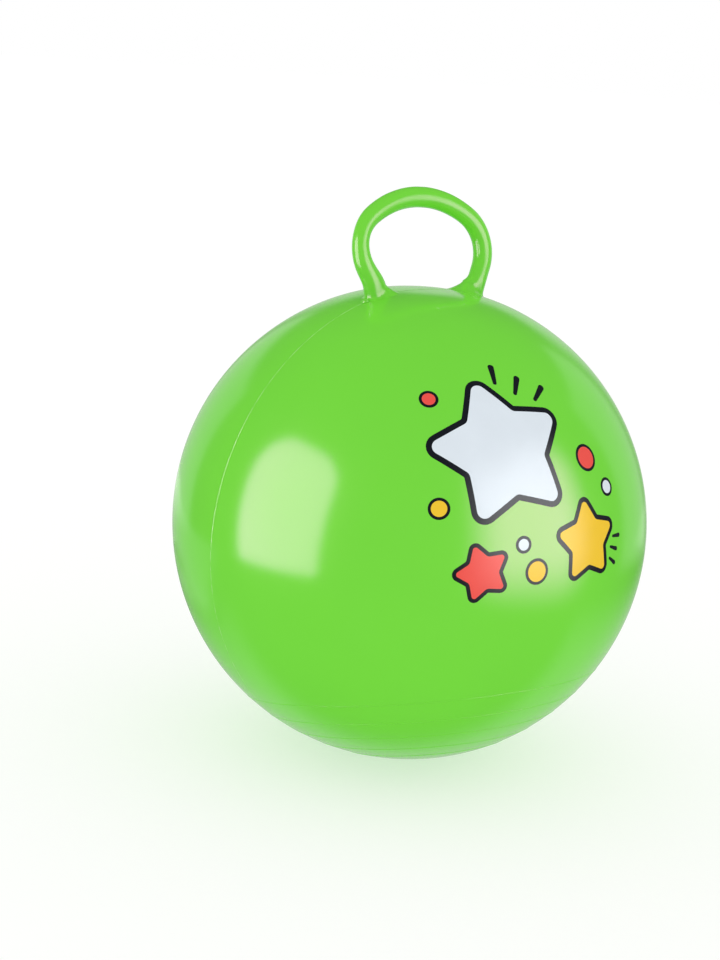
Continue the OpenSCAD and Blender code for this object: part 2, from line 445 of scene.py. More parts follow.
class HOPPER_OT_add_ball(Operator):
    """Adds the inflated skin with its mould seam, its flat on the floor and the hole for the valve"""

    bl_idname = "hopper.add_ball"
    bl_label = "Add Ball"

    def execute(self, context):
        ball, valve = context.scene.hopper_ball, context.scene.hopper_valve
        angles = row_angles(ball)
        columns = 4 * round(math.tau * BALL_RADIUS / ball.mesh_step / 4)
        seam_plane = all_round(Vector((1, 0, 0)), Vector((0, 0, 1)), columns)
        directions = [Vector((0, -1, 0))]
        rings = []
        for beta in angles:
            aside = Vector((0, math.sin(beta), 0))
            rings.append([flat * math.cos(beta) + aside for flat in seam_plane])
        rows = add_rows(directions, rings)
        directions.append(Vector((0, 1, 0)))
        low, high, left, right = self.valve_block(valve, angles, columns)
        faces = fan_faces(0, rows[0])
        for i in range(len(rows) - 1):
            quads = strip_faces(rows[i], rows[i + 1])
            in_block = low <= i < high
            faces += [q for j, q in enumerate(quads) if not (in_block and left <= j < right)]
        faces += fan_faces(len(directions) - 1, rows[-1])
        shares = [seam_share(ball, d) for d in directions]
        points = [settle(skin_point(ball, d, ball.seam_height * s)) for d, s in zip(directions, shares)]
        rim = [rows[low][j] for j in range(left, right)]
        rim += [rows[i][right] for i in range(low, high)]
        rim += [rows[high][j] for j in range(right, left, -1)]
        rim += [rows[i][left] for i in range(high, low, -1)]
        self.add_valve_hole(ball, valve, directions, rim, points, faces)
        used = sorted({v for f in faces for v in f})
        number = {v: k for k, v in enumerate(used)}
        faces = [tuple(number[v] for v in f) for f in faces]
        shares += [0.0] * (len(points) - len(shares))
        skin = new_mesh_object("ball", [points[v] for v in used], faces, moulded_pvc(ball.green, ball.seam_glint))
        mark_seam(skin, [shares[v] for v in used])
        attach(skin, "ball")
        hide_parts("ball_skin")
        self.add_rings(ball, context.scene.hopper_handle.lean)
        return {"FINISHED"}

    def add_rings(self, ball, lean):
        """Adds the fine rings that the mould left round the underside, square to the loop's lean."""
        axis = Vector((0, math.sin(lean), math.cos(lean)))
        across = Vector((1, 0, 0))
        level = all_round(across, axis.cross(across), 320)
        # Places across a ring and heights, as shares of its half width and height
        section = [(-1, -0.5), (-0.75, 0.3), (-0.35, 0.85), (0, 1), (0.35, 0.85), (0.75, 0.3), (1, -0.5)]
        half = ball.ring_width / 2 / BALL_RADIUS
        points, faces = [], []
        for k in range(ball.ring_count):
            rings = []
            for aside, rise in section:
                below = ball.ring_top + k * ball.ring_step + aside * half
                directions = [side * math.cos(below) - axis * math.sin(below) for side in level]
                rings.append([settle(skin_point(ball, d, rise * ball.ring_height)) for d in directions])
            faces += tube_faces(add_rows(points, rings), whole_round=True)
        made = new_mesh_object("rings", points, faces, moulded_pvc(ball.green, ball.seam_glint))
        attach(made, "ball")

    def valve_block(self, valve, angles, columns):
        """First and last rows and columns of the block of the grid that makes room for the valve's hole."""
        margin = 9 * MM
        reach = (valve.body / 2 + margin) / BALL_RADIUS
        beta = math.asin(VALVE_AXIS.y)
        psi = math.atan2(VALVE_AXIS.z, VALVE_AXIS.x) % math.tau
        low = max(i for i, a in enumerate(angles) if a < beta - reach)
        high = min(i for i, a in enumerate(angles) if a > beta + reach)
        middle = round(psi / math.tau * columns)
        wide = math.ceil(reach / math.cos(beta) / math.tau * columns)
        return low, high, middle - wide, middle + wide

    def add_valve_hole(self, ball, valve, directions, rim, points, faces):
        """Closes the block in rings down to a round hole whose edge rolls in by the skin's thickness."""
        hole = valve.body / 2 + VALVE_FIT
        # How far each ring of the rolled edge lies outside the hole, and its height
        edge = [(0.4 * MM, 0), (0.12 * MM, -0.05 * MM), (0, -0.25 * MM), (0, -SKIN_THICKNESS)]
        shares = (0.3, 0.55, 0.75, 0.9)
        spokes = []
        for v in rim:
            sideways = (directions[v] - VALVE_AXIS * directions[v].dot(VALVE_AXIS)).normalized()
            spokes.append((sideways, directions[v].angle(VALVE_AXIS) * BALL_RADIUS))
        outer_hole = hole + edge[0][0]
        rings = [[(s, d + (outer_hole - d) * share, 0) for s, d in spokes] for share in shares]
        rings += [[(s, hole + wider, height) for s, _ in spokes] for wider, height in edge]
        before = rim
        for ring in rings:
            level = [skin_point(ball, arc_from(VALVE_AXIS, s, d), h) for s, d, h in ring]
            now = add_rows(points, [level])[0]
            faces += strip_faces(before, now)
            before = now


# Loop handle

class HOPPER_OT_add_handle(Operator):
    """Adds the leaning loop handle, whose feet flare out onto the ball"""

    bl_idname = "hopper.add_handle"
    bl_label = "Add Loop Handle"

    segments = 56
    flare_steps = 12
    line_step = 3 * MM

    def execute(self, context):
        ball, handle = context.scene.hopper_ball, context.scene.hopper_handle
        line, foot = self.right_half_line(handle)
        top = CENTRE.z + max(p.z for p in line) + handle.grip / 2
        tolerance = 1 * MM
        if abs(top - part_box("loop_handle")[1].z) > tolerance:
            raise RuntimeError("the loop's sizes don't match the handle in the frame")
        rings = self.half_rings(ball, handle, line, foot, side=-1)[:0:-1]
        rings += self.half_rings(ball, handle, line, foot, side=1)
        points = []
        rows = add_rows(points, rings)
        faces = [tuple(rows[0]), tuple(rows[-1])] + tube_faces(rows)
        made = new_mesh_object("handle", points, faces, moulded_pvc(ball.green, ball.seam_glint))
        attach(made, "ball")
        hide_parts("loop_handle")
        self.add_gate_mark(ball, handle, foot)
        return {"FINISHED"}

    def right_half_line(self, handle):
        """Middle line from the top of the crown to the top of the right neck, and the foot's direction.

        Both are about the ball's centre.
        """
        lean_z = BALL_RADIUS - handle.lean_depth
        up = Vector((0, math.sin(handle.lean), math.cos(handle.lean)))
        crown = Vector((0, handle.loop_height - handle.crown_radius))
        between = handle.crown_radius - handle.shoulder_radius
        shoulder = crown + between * Vector((math.sin(handle.crown_half), math.cos(handle.crown_half)))
        top = math.pi / 2
        bends = [(crown, handle.crown_radius, top, top - handle.crown_half),
                 (shoulder, handle.shoulder_radius, top - handle.crown_half, -handle.leg_in)]
        line = []
        for middle, radius, start, end in bends:
            count = round(radius * (start - end) / self.line_step)
            for k in range(count):
                turn = start + (end - start) * k / count
                flat = middle + radius * Vector((math.cos(turn), math.sin(turn)))
                line.append(Vector((flat.x, 0, lean_z)) + up * flat.y)
        leg_side = Vector((math.cos(handle.leg_in), -math.sin(handle.leg_in)))
        leg_top = shoulder + handle.shoulder_radius * leg_side
        leg_end = Vector((leg_top.x, 0, lean_z)) + up * leg_top.y
        leg = Vector((math.sin(handle.leg_in), 0, 0)) + up * math.cos(handle.leg_in)
        reach = leg_end.dot(leg)
        corner_radius = BALL_RADIUS + handle.corner
        corner_reach = math.sqrt(reach ** 2 - leg_end.length_squared + corner_radius ** 2)
        corner = leg_end - leg * (reach - corner_reach)
        foot = corner.normalized()
        turn_reach = handle.foot_bend * math.tan(foot.angle(leg) / 2)
        turn_start, turn_end = corner + leg * turn_reach, corner - foot * turn_reach
        leg_steps, turn_steps = 4, 5
        line += [leg_end.lerp(turn_start, k / leg_steps) for k in range(leg_steps)]
        for k in range(turn_steps + 1):
            share = k / turn_steps
            line.append(turn_start.lerp(corner, share).lerp(corner.lerp(turn_end, share), share))
        return line, foot

    def half_rings(self, ball, handle, line, foot, side):
        """Rings from the crown's middle down to the rim of one foot. side is 1 right and -1 left."""
        lump_height, lump_size = 0.12 * MM, 16 * MM
        outward = (line[0] - Vector((0, 0, BALL_RADIUS))).normalized()
        inward = (Vector((-1, 0, 0)) + foot * foot.x).normalized()
        gather, rise = handle.gather_left, handle.gather_rise_left
        if side > 0:
            gather, rise = handle.gather_right, handle.gather_rise_right
        gather_start = sum((b - a).length for a, b in zip(line, line[1:])) - rise
        rings = []
        travelled = 0.0
        tangent = Vector((1, 0, 0))
        for i, point in enumerate(line):
            ahead, behind = line[min(i + 1, len(line) - 1)], line[max(i - 1, 0)]
            next_tangent = (ahead - behind).normalized() if i else tangent
            next_tangent = -foot if i == len(line) - 1 else next_tangent
            outward = tangent.rotation_difference(next_tangent) @ outward
            tangent = next_tangent
            travelled += (point - behind).length
            across = tangent.cross(outward)
            radius = self.grip_radius(handle, travelled, side)
            filled = gather * max(0.0, (travelled - gather_start) / rise) ** 2
            ring = []
            for spoke in all_round(outward, across, self.segments):
                lump = lump_height * noise.noise((point + spoke * radius) * side / lump_size)
                inside = filled * max(0.0, spoke.dot(inward)) ** 2
                ring.append(point + spoke * (radius + lump + inside))
            rings.append(ring)
        rings += self.flare_rings(ball, handle, rings[-1], foot, side)
        return [[CENTRE + Vector((side * p.x, p.y, p.z)) for p in ring] for ring in rings]

    def grip_radius(self, handle, travelled, side):
        """Radius of the grip at a distance from the crown's middle: the left shoulder came out slimmer."""
        crown_spread, shoulder, shoulder_spread = 32 * MM, 86 * MM, 15 * MM
        stouter = handle.thick_crown * math.exp(-0.5 * (travelled / crown_spread) ** 2)
        slimmer = handle.thin_left * math.exp(-0.5 * ((travelled - shoulder) / shoulder_spread) ** 2)
        return handle.grip / 2 + stouter - (slimmer if side < 0 else 0)

    def flare_rings(self, ball, handle, neck, foot, side):
        """Rings that spread from the neck onto the skin, hollow outside and straighter between the feet."""
        height = sum((p.dot(foot) for p in neck), 0.0) / len(neck) - BALL_RADIUS
        widest = handle.flare_in_right if side > 0 else handle.flare_in_left
        inward = (Vector((-1, 0, 0)) + foot * foot.x).normalized()
        sunk, sinks_late = 0.2 * MM, 4
        outer_hollow, inner_fill, narrowing = 0.42, 1.2, 1.5
        rings = []
        for step in range(1, self.flare_steps + 1):
            share = step / self.flare_steps
            ring = []
            for p in neck:
                off_axis = p - foot * p.dot(foot)
                sideways = off_axis.normalized()
                between = max(0.0, sideways.dot(inward)) ** narrowing
                reach = handle.flare + (widest - handle.flare) * between
                hollow = outer_hollow + inner_fill * between
                rise = height * (1 - math.sin(share * math.pi / 2) ** hollow) - sunk * share ** sinks_late
                if side < 0:
                    rise += self.nub(sideways, share)
                spread = off_axis.length + reach * (1 - math.cos(share * math.pi / 2) ** hollow)
                direction = arc_from(foot, sideways, spread * BALL_RADIUS / (BALL_RADIUS + rise))
                real = Vector((side * direction.x, direction.y, direction.z))
                ring.append(direction * (skin_radius(ball, real) + rise))
            rings.append(ring)
        return rings

    def nub(self, sideways, share):
        """Height of the small lump of flash on the outer front of the left foot."""
        height, place, along, wide = 0.8 * MM, 0.68, 0.12, math.radians(16)
        outer_front = Vector((0.8, -0.6, -0.2))
        across = sideways.angle(outer_front) / wide
        return height * math.exp(-0.5 * (across ** 2 + ((share - place) / along) ** 2))

    def add_gate_mark(self, ball, handle, foot):
        """Adds the dimpled stub of the mould's vent on the seam, at the outer rim of the left foot."""
        left_foot = Vector((-foot.x, foot.y, foot.z))
        outward = (Vector((-1, 0, 0)) - left_foot * -left_foot.x).normalized()
        rim_share, dimple = 0.75, 1.1 * MM
        axis = arc_from(left_foot, outward, handle.grip / 2 + rim_share * handle.flare)
        axis = Vector((axis.x, 0, axis.z)).normalized()
        along = Vector((0, 1, 0))
        level = all_round(along, axis.cross(along), 28)
        # Radius and height of each ring in millimetres, and its share of the painted highlight, a paler
        # green that stands in for the glints on the stub
        section = [(3.6, -0.4, 0), (3.4, 0.6, 0.2), (3.0, 1.6, 0.5), (2.3, 2.1, 0.9), (1.5, 1.9, 0.6),
                   (0.8, 1.3, 0.1)]
        rings, shares = [], []
        for radius, height, painted_glint in section:
            rings.append([skin_point(ball, arc_from(axis, s, radius * MM), height * MM) for s in level])
            shares += [painted_glint] * len(level)
        points = []
        rows = add_rows(points, rings)
        points.append(skin_point(ball, axis, dimple))
        shares.append(0.0)
        faces = [tuple(rows[0])] + fan_faces(len(points) - 1, rows[-1]) + tube_faces(rows)
        made = new_mesh_object("gate_mark", points, faces, moulded_pvc(ball.green, ball.seam_glint))
        mark_seam(made, shares)
        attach(made, "ball")


# Air valve

def lathe(name, profile, material):
    """Turns a profile about the valve's axis: distances from it and heights above the ball's centre."""
    to_axis = Vector((0, 0, 1)).rotation_difference(VALVE_AXIS)
    level = all_round(Vector((1, 0, 0)), Vector((0, 1, 0)), 72)
    rings = []
    for radius, height in profile:
        spokes = level if radius > 0 else level[:1]
        rings.append([CENTRE + to_axis @ (spoke * radius + Vector((0, 0, height))) for spoke in spokes])
    points, faces = [], []
    rows = add_rows(points, rings)
    for before, now in zip(rows, rows[1:] + rows[:1]):
        shorter, longer = sorted((before, now), key=len)
        if len(shorter) < len(longer):
            faces += fan_faces(shorter[0], longer)
        elif len(longer) > 1:
            faces += strip_faces(before, now)
    return new_mesh_object(name, points, faces, material, sharp_angle=math.radians(50))


def skin_height(radius, depth=0.0):
    """Height from the ball's centre of a spot on the skin that is a radius off the valve's axis."""
    return math.sqrt((BALL_RADIUS - depth) ** 2 - radius ** 2)


class HOPPER_OT_add_valve(Operator):
    """Adds the valve insert in the skin and the stopper that plugs it"""

    bl_idname = "hopper.add_valve"
    bl_label = "Add Air Valve"

    def execute(self, context):
        ball, valve = context.scene.hopper_ball, context.scene.hopper_valve
        insert = lathe("valve_insert", self.insert_profile(valve), moulded_pvc(ball.green, ball.seam_glint))
        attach(insert, "ball")
        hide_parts("valve_boss")
        stopper = lathe("stopper", self.stopper_profile(valve), moulded_polyethylene(valve.white))
        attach(stopper, "plug")
        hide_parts("valve_plug")
        return {"FINISHED"}

    def insert_profile(self, valve):
        """Section of the insert: bore, seat, face, flange under the skin and tapered sleeve."""
        body, bore, seat = valve.body / 2 - VALVE_FIT, valve.bore / 2, valve.seat / 2
        seat_z = BALL_RADIUS - valve.seat_depth
        flange = valve.flange / 2
        flange_thickness = 2.4 * MM
        flange_z = BALL_RADIUS - SKIN_THICKNESS - flange_thickness
        under_skin = SKIN_THICKNESS + VALVE_FIT
        bottom = BALL_RADIUS - valve.sleeve_depth
        corners = [(bore, bottom), (bore, seat_z), (seat, seat_z), (seat, skin_height(seat)),
                   (body, skin_height(body)), (body, skin_height(body, under_skin)),
                   (flange, skin_height(flange, under_skin)), (flange, flange_z), (body, flange_z),
                   (valve.sleeve / 2, bottom)]
        radii = [r * MM for r in (0.3, 0.4, 0.15, 0.4, 0.3, 0, 0.4, 0.4, 0.8, 0.5)]
        return round_corners(corners, radii, closed=True)

    def stopper_profile(self, valve):
        """Section of the stopper: hollow shank with tapered sealing rings, and a domed head."""
        seat = BALL_RADIUS - valve.seat_depth + valve.gap
        shank = valve.bore / 2 - valve.gap
        groove, core, ring_length, end_share, dome_steps = 0.6 * MM, 2 * MM, 1.8 * MM, 0.5, 6
        waist = shank - groove
        pitch = valve.shank / (valve.ring_count + end_share)
        core_top, bottom = seat - valve.head_edge, seat - valve.shank
        corners = [(0, core_top), (core, core_top), (core, bottom), (waist, bottom)]
        for i in range(valve.ring_count, 0, -1):
            low = seat - i * pitch
            corners += [(waist, low), (shank, low + ring_length), (waist, low + ring_length)]
        head = valve.head / 2
        edge_z = seat + valve.head_edge
        corners += [(waist, seat), (head, seat), (head, edge_z)]
        radii = [0, 0.5, 0.3, 0.4] + [0.2, 0.15, 0.1] * valve.ring_count + [0.3, 0.35, 0.5]
        dome_radius = (head ** 2 + valve.head_dome ** 2) / (2 * valve.head_dome)
        for k in reversed(range(dome_steps)):
            off_axis = head * k / dome_steps
            rise = math.sqrt(dome_radius ** 2 - off_axis ** 2) - (dome_radius - valve.head_dome)
            corners.append((off_axis, edge_z + rise))
            radii.append(0)
        return round_corners(corners, [r * MM for r in radii], closed=True)


# Print

def star_outline(outer, turn, line, points=5, waist=0.56):
    """Closed outline of a plump star about its own middle, with valleys wide enough for a line round it."""
    valley_spare, tip_share, step_share = 1.5 * MM, 0.1, 0.06
    corners = []
    for k in range(2 * points):
        radius = outer * (waist if k % 2 else 1)
        spin = turn + math.pi * k / points
        corners.append((-radius * math.sin(spin), radius * math.cos(spin)))
    radii = [line + valley_spare if k % 2 else outer * tip_share for k in range(2 * points)]
    return even_steps(round_corners(corners, radii, closed=True, steps=10), outer * step_share)


def disc_outline(radius, count=48):
    """Closed outline of a dot."""
    return [d * radius for d in all_round(Vector((1, 0)), Vector((0, 1)), count)]


def even_steps(outline, longest):
    """The outline with its long straight sides divided, so that it can follow the ball."""
    points = []
    for here, there in zip(outline, outline[1:] + outline[:1]):
        count = max(1, math.ceil((there - here).length / longest))
        points += [here.lerp(there, k / count) for k in range(count)]
    return points


def pushed_out(outline, distance):
    """The outline moved outwards by a distance, square to itself."""
    moved = []
    for before, here, after in zip(outline[-1:] + outline[:-1], outline, outline[1:] + outline[:1]):
        along = (after - before).normalized()
        moved.append(here + Vector((along.y, -along.x)) * distance)
    return moved


def turned_left(outline):
    """The outline in anticlockwise order."""
    area = sum(a.x * b.y - b.x * a.y for a, b in zip(outline, outline[1:] + outline[:1]))
    return outline if area > 0 else outline[::-1]


class HOPPER_OT_add_print(Operator):
    """Adds the printed stars, dots and strokes as thin films of ink on the front of the ball"""

    bl_idname = "hopper.add_print"
    bl_label = "Add Print"

    ink_under = 0.08 * MM
    black_height = 0.09 * MM
    colour_height = 0.14 * MM

    def execute(self, context):
        ball, inks = context.scene.hopper_ball, context.scene.hopper_print
        self.ball = ball
        self.middle = toward(inks.around, inks.above)
        self.right = Vector((math.cos(inks.around), math.sin(inks.around), 0))
        self.up = self.middle.cross(self.right)
        if self.up.z < 0:
            self.up = -self.up
        self.films = {"white": [], "black": [], "yellow": [], "coral": []}
        # Sizes and places are in millimetres from the print's middle, and turns in degrees
        large, second, dot_line = (-24, 30), (58, -52), 2.6
        stars = [("white", large, 70, 10, 5.2), ("yellow", second, 38, 7.4, 4.4),
                 ("coral", (-52, -74), 26, 18, 3.6)]
        for ink, place, outer, turn, line in stars:
            self.add_shape(ink, place, star_outline(outer * MM, math.radians(turn), line * MM), line * MM)
        dots = [("coral", (64, 22), 10), ("yellow", (0, -76), 9), ("white", (88, -4), 6),
                ("white", (-14, -52), 5), ("yellow", (-88, -16), 7), ("coral", (-80, 84), 6)]
        for ink, place, radius in dots:
            self.add_shape(ink, place, disc_outline(radius * MM), dot_line * MM)
        strokes = [(large, 22, 3.2, ((-44, 63), (-26, 57), (-8, 63))),
                   (second, 13, 2.2, ((243, 36), (259, 33), (275, 36)))]
        for place, reach, width, rays in strokes:
            for spin, start in rays:
                self.add_stroke(place, start, start + reach, spin, width)
        for ink, films in self.films.items():
            self.add_ink(ink, films, screen_ink(ink, getattr(inks, ink)))
        return {"FINISHED"}

    def add_shape(self, ink, place, outline, line):
        """Lays a filled shape in one ink and a black line round it that the fill overlaps a little."""
        middle = Vector(place) * MM
        outline = turned_left(outline)
        overlap = 0.5 * MM
        fill_rings = 14
        fill = [[middle + p * (k / fill_rings) for p in outline] for k in range(1, fill_rings + 1)]
        self.films[ink].append((middle, fill, self.colour_height))
        edges = [pushed_out(outline, d) for d in (-overlap, line / 2, line)]
        self.films["black"].append((None, [[middle + p for p in e] for e in edges], self.black_height))

    def add_stroke(self, place, start, end, spin, width):
        """Lays a tapered black stroke that points away from a place."""
        middle, turn = Vector(place) * MM, math.radians(spin)
        ray = Vector((-math.sin(turn), math.cos(turn)))
        side = Vector((ray.y, -ray.x))
        foot_share, foot_round, tip_round, longest_step, fill_rings = 0.55, 0.5, 0.9, 2.5 * MM, 4
        foot = width * foot_share
        flat = [(start, foot, foot_round), (end, width, tip_round), (end, -width, tip_round),
                (start, -foot, foot_round)]
        corners = [middle + (ray * along + side * aside) * MM for along, aside, _ in flat]
        radii = [width * share * MM for _, _, share in flat]
        outline = turned_left(even_steps(round_corners(corners, radii, closed=True), longest_step))
        heart = sum(outline, Vector((0, 0))) / len(outline)
        rings = [[heart.lerp(p, k / fill_rings) for p in outline] for k in range(1, fill_rings + 1)]
        self.films["black"].append((heart, rings, self.black_height))

    def on_skin(self, flat, height):
        """Point of the ball at a place of the flat print, at a height above the skin."""
        distance = flat.length
        if distance == 0:
            return skin_point(self.ball, self.middle, height)
        sideways = (self.right * flat.x + self.up * flat.y) / distance
        return skin_point(self.ball, arc_from(self.middle, sideways, distance), height)

    def add_ink(self, ink, films, material):
        """Makes one mesh of all films of an ink, each with a face, an edge and a back under the skin."""
        points, faces = [], []
        for heart, rings, height in films:
            layers = []
            for level in (height, -self.ink_under):
                rows = add_rows(points, [[self.on_skin(p, level) for p in ring] for ring in rings])
                faces += tube_faces(rows)
                if heart is not None:
                    points.append(self.on_skin(heart, level))
                    faces += fan_faces(len(points) - 1, rows[0])
                layers.append(rows)
            faces += strip_faces(layers[0][-1], layers[1][-1])
            if heart is None:
                faces += strip_faces(layers[0][0], layers[1][0])
        made = new_mesh_object("print_" + ink, points, faces, material, sharp_angle=math.radians(40))
        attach(made, "ball")


# Stage

def reflected_only(made):
    """Marks a part of the studio that only reflections see."""
    made.visible_camera = False
    made.visible_diffuse = False
    made.visible_transmission = False
    made.visible_shadow = False


def glowing(name, hex_colour, strength, fade_across, fade_up, reach=None):
    """Lit gauze: adds an even glow to what lies behind, fading out over shares of its width and height.

    If it has a reach, the glow dies away on surfaces further from its plane than that.
    """
    material, tree, surface = new_material(name)
    place = add_node(tree, "ShaderNodeTexCoord").outputs["UV"]
    apart = add_node(tree, "ShaderNodeSeparateXYZ", {"Vector": place})
    shares = []
    for axis, fade, most in (("X", fade_across, strength), ("Y", fade_up, 1.0)):
        off = add_node(tree, "ShaderNodeMath", {0: apart.outputs[axis], 1: 0.5}, operation="SUBTRACT")
        away = add_node(tree, "ShaderNodeMath", {0: off.outputs["Value"]}, operation="ABSOLUTE")
        shares.append(add_node(tree, "ShaderNodeMapRange", {
            "Value": away.outputs["Value"], "From Min": 0.5, "From Max": 0.5 - fade, "To Max": most},
            interpolation_type="SMOOTHSTEP").outputs["Result"])
    if reach is not None:
        shares.append(near_share(tree, reach))
    power = shares[0]
    for share in shares[1:]:
        power = add_node(tree, "ShaderNodeMath", {0: power, 1: share}, operation="MULTIPLY").outputs["Value"]
    light = add_node(tree, "ShaderNodeEmission", {"Color": (*linear(hex_colour), 1.0), "Strength": power})
    clear = add_node(tree, "ShaderNodeBsdfTransparent")
    gauze = add_node(tree, "ShaderNodeAddShader", {0: light.outputs["Emission"], 1: clear.outputs["BSDF"]})
    tree.links.new(gauze.outputs["Shader"], surface)
    return material


def near_share(tree, reach):
    """Share of a light's strength for a surface by its distance from the light's plane."""
    fall_off = 70 * MM
    path = add_node(tree, "ShaderNodeLightPath")
    slant = add_node(tree, "ShaderNodeLayerWeight", {"Blend": 0.5})
    upright = add_node(tree, "ShaderNodeMath", {0: 1.0, 1: slant.outputs["Facing"]}, operation="SUBTRACT")
    depth = add_node(tree, "ShaderNodeMath", {
        0: path.outputs["Ray Length"], 1: upright.outputs["Value"]}, operation="MULTIPLY")
    near = add_node(tree, "ShaderNodeMapRange", {
        "Value": depth.outputs["Value"], "From Min": reach + fall_off, "From Max": reach},
        interpolation_type="SMOOTHSTEP")
    return near.outputs["Result"]


def shine_only_on(light, names):
    """Links a light to the pieces that it shines on."""
    lit = bpy.data.collections.new(light.name)
    for name in names:
        lit.objects.link(bpy.data.objects[name])
    light.light_linking.receiver_collection = lit


def add_reflection(name, points, faces, places, material):
    """Adds a surface that only reflections see. places are its points' shares of its width and height."""
    made = new_mesh_object(name, points, faces, material)
    layer = made.data.uv_layers.new(name="shares")
    for loop in made.data.loops:
        layer.data[loop.index].uv = places[loop.vertex_index]
    reflected_only(made)
    return made


def add_softbox(name, azimuth, distance, low, width, height, taper, corners, material):
    """Stands a softbox upright, facing the ball. taper is its foot's share of its width."""
    away = toward(math.radians(azimuth))
    across = Vector((0, 0, 1)).cross(-away)
    foot = width * taper
    flat = [(-foot / 2, 0), (foot / 2, 0), (width / 2, height), (-width / 2, height)]
    outline = round_corners(flat, corners, closed=True)
    middle = away * distance + Vector((0, 0, low))
    points = [middle + across * p.x + Vector((0, 0, p.y)) for p in outline]
    places = [(p.x / width + 0.5, p.y / height) for p in outline]
    return add_reflection(name, points, [tuple(range(len(points)))], places, material)


def add_screen(name, from_azimuth, to_azimuth, distance, low, high, material):
    """Stands an upright screen that curves round the ball between two azimuths."""
    count = 32
    points, places = [], []
    for height, share in ((low, 0.0), (high, 1.0)):
        for k in range(count + 1):
            turn = math.radians(from_azimuth + (to_azimuth - from_azimuth) * k / count)
            points.append(toward(turn) * distance + Vector((0, 0, height)))
            places.append((k / count, share))
    foot = range(count + 1)
    faces = strip_faces(foot, [k + count + 1 for k in foot], closed=False)
    add_reflection(name, points, faces, places, material)


